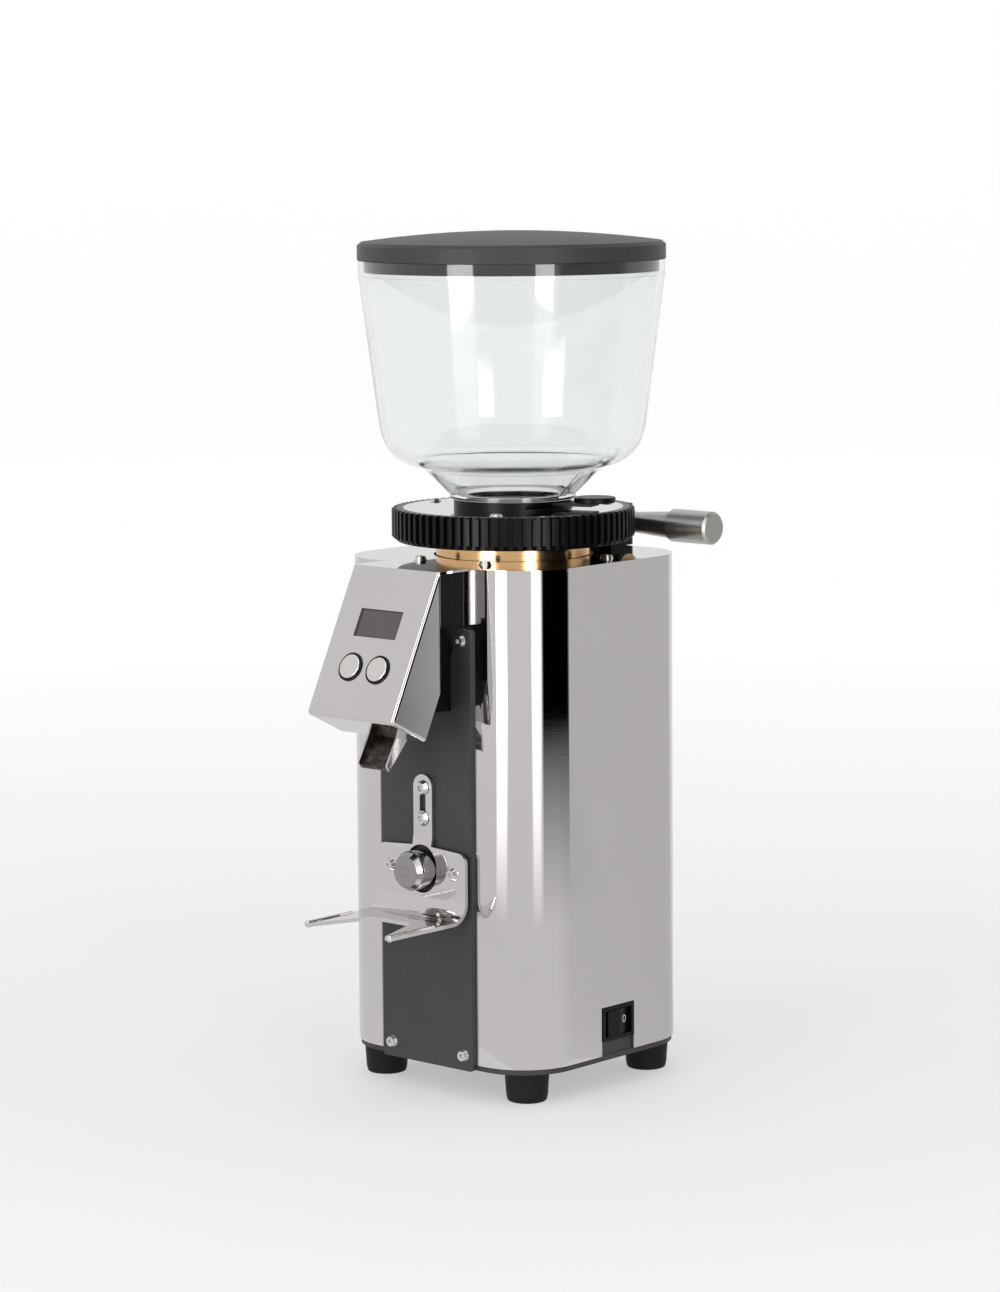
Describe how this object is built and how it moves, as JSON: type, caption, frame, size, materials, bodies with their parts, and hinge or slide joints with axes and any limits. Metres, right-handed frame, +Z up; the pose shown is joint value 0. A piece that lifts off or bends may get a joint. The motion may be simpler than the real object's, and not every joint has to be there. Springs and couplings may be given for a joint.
{
  "type": "burr coffee grinder",
  "caption": "Upright on-demand burr coffee grinder with a clear domed-lid hopper, toothed grind ring with worm adjuster, sloping display head and fork for a filter holder.",
  "frame": {"origin": "bottom centre of the bounding box, on the surface the feet stand on", "axes": "+Z up, -Y towards the user (display head and fork), +X to the side with the mains switch and the adjusting knob"},
  "size_m": [0.1634, 0.2122, 0.4502],
  "materials": {
    "polished_steel": "mirror polished stainless sheet",
    "screw_steel": "bright stainless screws",
    "black_powder_coat": "fine-grained satin powder coat",
    "black_plastic": "moulded, fine texture",
    "ring_black": "black anodised, satin",
    "black_rubber": "matte",
    "lid_grey": "matte, fine texture",
    "clear_plastic": "clear, slightly smoky",
    "dark_window": "smoked acrylic",
    "key_steel": "polished",
    "brass": "turned",
    "bush_bronze": "sintered",
    "knob_steel": "turned and brushed",
    "burr_steel": "hardened, ground",
    "cast_aluminium": "as cast",
    "laminated_steel": "laminated",
    "circuit_board": "solder-masked",
    "capacitor_case": "moulded",
    "pin_brass": "plated"
  },
  "bodies": {
    "housing": {"foot_front_right": "black_rubber", "foot_front_left": "black_rubber", "foot_rear_right": "black_rubber", "foot_rear_left": "black_rubber", "foot_screws": "screw_steel", "base_plate": "black_powder_coat", "shell": "polished_steel", "front_plate": "polished_steel", "front_panel": "black_powder_coat", "panel_screws": "screw_steel", "deck": "polished_steel", "deck_screws": "screw_steel", "motor_can": "cast_aluminium", "stator": "laminated_steel", "motor_bearings": "burr_steel", "motor_plate": "cast_aluminium", "motor_posts": "cast_aluminium", "grinding_chamber": "cast_aluminium", "outlet_duct": "cast_aluminium", "worm_housing": "black_plastic", "worm_bushes": "bush_bronze", "head_housing": "polished_steel", "display_window": "dark_window", "display_board": "circuit_board", "key_bezels": "black_plastic", "neck": "black_plastic", "spout": "polished_steel", "tongue_screws": "screw_steel", "start_sleeve": "black_plastic", "start_switch": "black_plastic", "switch_housing": "black_plastic", "inlet_socket": "black_plastic", "inlet_pins": "pin_brass", "control_board": "circuit_board", "capacitor": "capacitor_case"},
    "rotor": {"rotor": "laminated_steel", "motor_shaft": "burr_steel", "lower_burr_carrier": "cast_aluminium", "lower_burr": "burr_steel"},
    "adjuster": {"brass_carrier": "brass", "upper_burr": "burr_steel", "adjusting_ring": "ring_black", "ring_disc": "polished_steel", "ring_screws": "screw_steel", "hopper_collar": "black_plastic", "hopper": "clear_plastic"},
    "worm": {"worm_shaft": "knob_steel", "worm_knob": "knob_steel"},
    "gate": {"gate": "black_plastic", "gate_pad": "black_plastic"},
    "lid": {"lid": "lid_grey", "lid_seal": "black_rubber"},
    "menu_key_left": {"menu_key_left": "key_steel"},
    "menu_key_right": {"menu_key_right": "key_steel"},
    "fork": {"fork": "polished_steel", "fork_screws": "screw_steel"},
    "start_button": {"start_button": "polished_steel", "start_spring": "burr_steel"},
    "rocker": {"rocker": "black_plastic"}
  },
  "joints": [
    {"name": "rotor_spin", "type": "hinge", "parent": "housing", "child": "rotor", "pos_m": [0, 0.0244, 0.12], "axis": [0, 0, 1], "continuous": true},
    {"name": "ring_turn", "type": "hinge", "parent": "housing", "child": "adjuster", "pos_m": [0, 0.0244, 0.2915], "axis": [0, 0, 1], "range_deg": [-20, 20]},
    {"name": "worm_turn", "type": "hinge", "parent": "housing", "child": "worm", "pos_m": [0, 0.0944, 0.2915], "axis": [1, 0, 0], "range_deg": [-1600, 1600]},
    {"name": "gate_slide", "type": "slide", "parent": "adjuster", "child": "gate", "axis": [0.9466, 0.3223, 0], "range_m": [0, 0.044]},
    {"name": "lid_lift", "type": "slide", "parent": "adjuster", "child": "lid", "axis": [0, 0, 1], "range_m": [0, 0.12]},
    {"name": "fork_height", "type": "slide", "parent": "housing", "child": "fork", "axis": [0, 0, 1], "range_m": [-0.002, 0.002]},
    {"name": "start_press", "type": "slide", "parent": "housing", "child": "start_button", "axis": [0, 1, 0], "range_m": [0, 0.003], "stiffness_N_per_m": 400, "springref_m": -0.003},
    {"name": "menu_left_press", "type": "slide", "parent": "housing", "child": "menu_key_left", "axis": [0, 0.8983, -0.4393], "range_m": [0, 0.001], "stiffness_N_per_m": 400, "springref_m": -0.002},
    {"name": "menu_right_press", "type": "slide", "parent": "housing", "child": "menu_key_right", "axis": [0, 0.8983, -0.4393], "range_m": [0, 0.001], "stiffness_N_per_m": 400, "springref_m": -0.002},
    {"name": "rocker_flip", "type": "hinge", "parent": "housing", "child": "rocker", "pos_m": [0.064, 0.0262, 0.0355], "axis": [0, 0, 1], "range_deg": [-16, 0]}
  ],
  "couplings": [
    {"joint": "worm_turn", "follows": "ring_turn", "ratio": 80}
  ]
}
